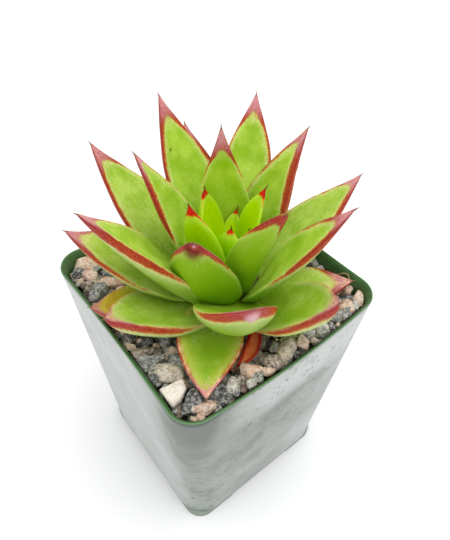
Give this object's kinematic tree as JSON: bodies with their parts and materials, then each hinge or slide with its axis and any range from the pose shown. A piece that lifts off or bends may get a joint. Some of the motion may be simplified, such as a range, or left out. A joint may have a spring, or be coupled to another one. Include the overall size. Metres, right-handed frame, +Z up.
{
  "type": "lipstick echeveria in a square pot",
  "caption": "Potted succulent rosette: thick pointed green leaves with red margins on a short stem, in gravel over soil, in a square tapered plastic pot with a thin patterned sleeve.",
  "frame": {"origin": "the middle of the pot's foot plane, on the pot's own axis, where the pot stands", "axes": "+Z up along the pot's axis; +X and +Y square to two of its sides; the corner between +X and -Y is the front corner, where the gravel lies highest"},
  "size_m": [0.1128, 0.1227, 0.188],
  "materials": {
    "leaf": "waxy, semi-gloss, yellow-green with a red margin and tip",
    "faded_leaf": "withered, satin, red-orange",
    "stem": "matt, green-brown",
    "pot": "satin moulded plastic",
    "sleeve": "satin film, pale grey, marbled with dark flecks",
    "soil": "matt, dark and crumbly",
    "gravel": "matt mixed granite chippings"
  },
  "bodies": {
    "root": {"pot": "pot", "sleeve": "sleeve", "soil": "soil", "gravel": "gravel", "stem": "stem", "leaf_heart_0": "leaf", "leaf_heart_1": "leaf", "leaf_heart_2": "leaf", "leaf_heart_3": "leaf", "leaf_heart_4": "leaf", "leaf_heart_5": "leaf", "leaf_inner_1": "leaf", "leaf_inner_2": "leaf", "leaf_inner_3": "leaf", "leaf_inner_4": "leaf", "leaf_inner_5": "leaf", "leaf_outer_1": "leaf", "leaf_outer_2": "leaf", "leaf_outer_3": "leaf", "leaf_outer_4": "leaf", "leaf_outer_5": "leaf", "leaf_outer_6": "leaf", "leaf_outer_7": "leaf", "leaf_outer_8": "leaf", "leaf_outer_9": "leaf", "leaf_low_1": "leaf", "leaf_low_2": "leaf", "leaf_low_3": "leaf", "leaf_low_4": "leaf", "leaf_low_5": "leaf", "leaf_low_6": "leaf", "leaf_low_7": "leaf", "leaf_low_8": "leaf", "leaf_low_9": "leaf", "leaf_low_10": "leaf", "leaf_low_11": "leaf", "leaf_low_12": "leaf", "leaf_faded": "faded_leaf"}
  },
  "joints": []
}
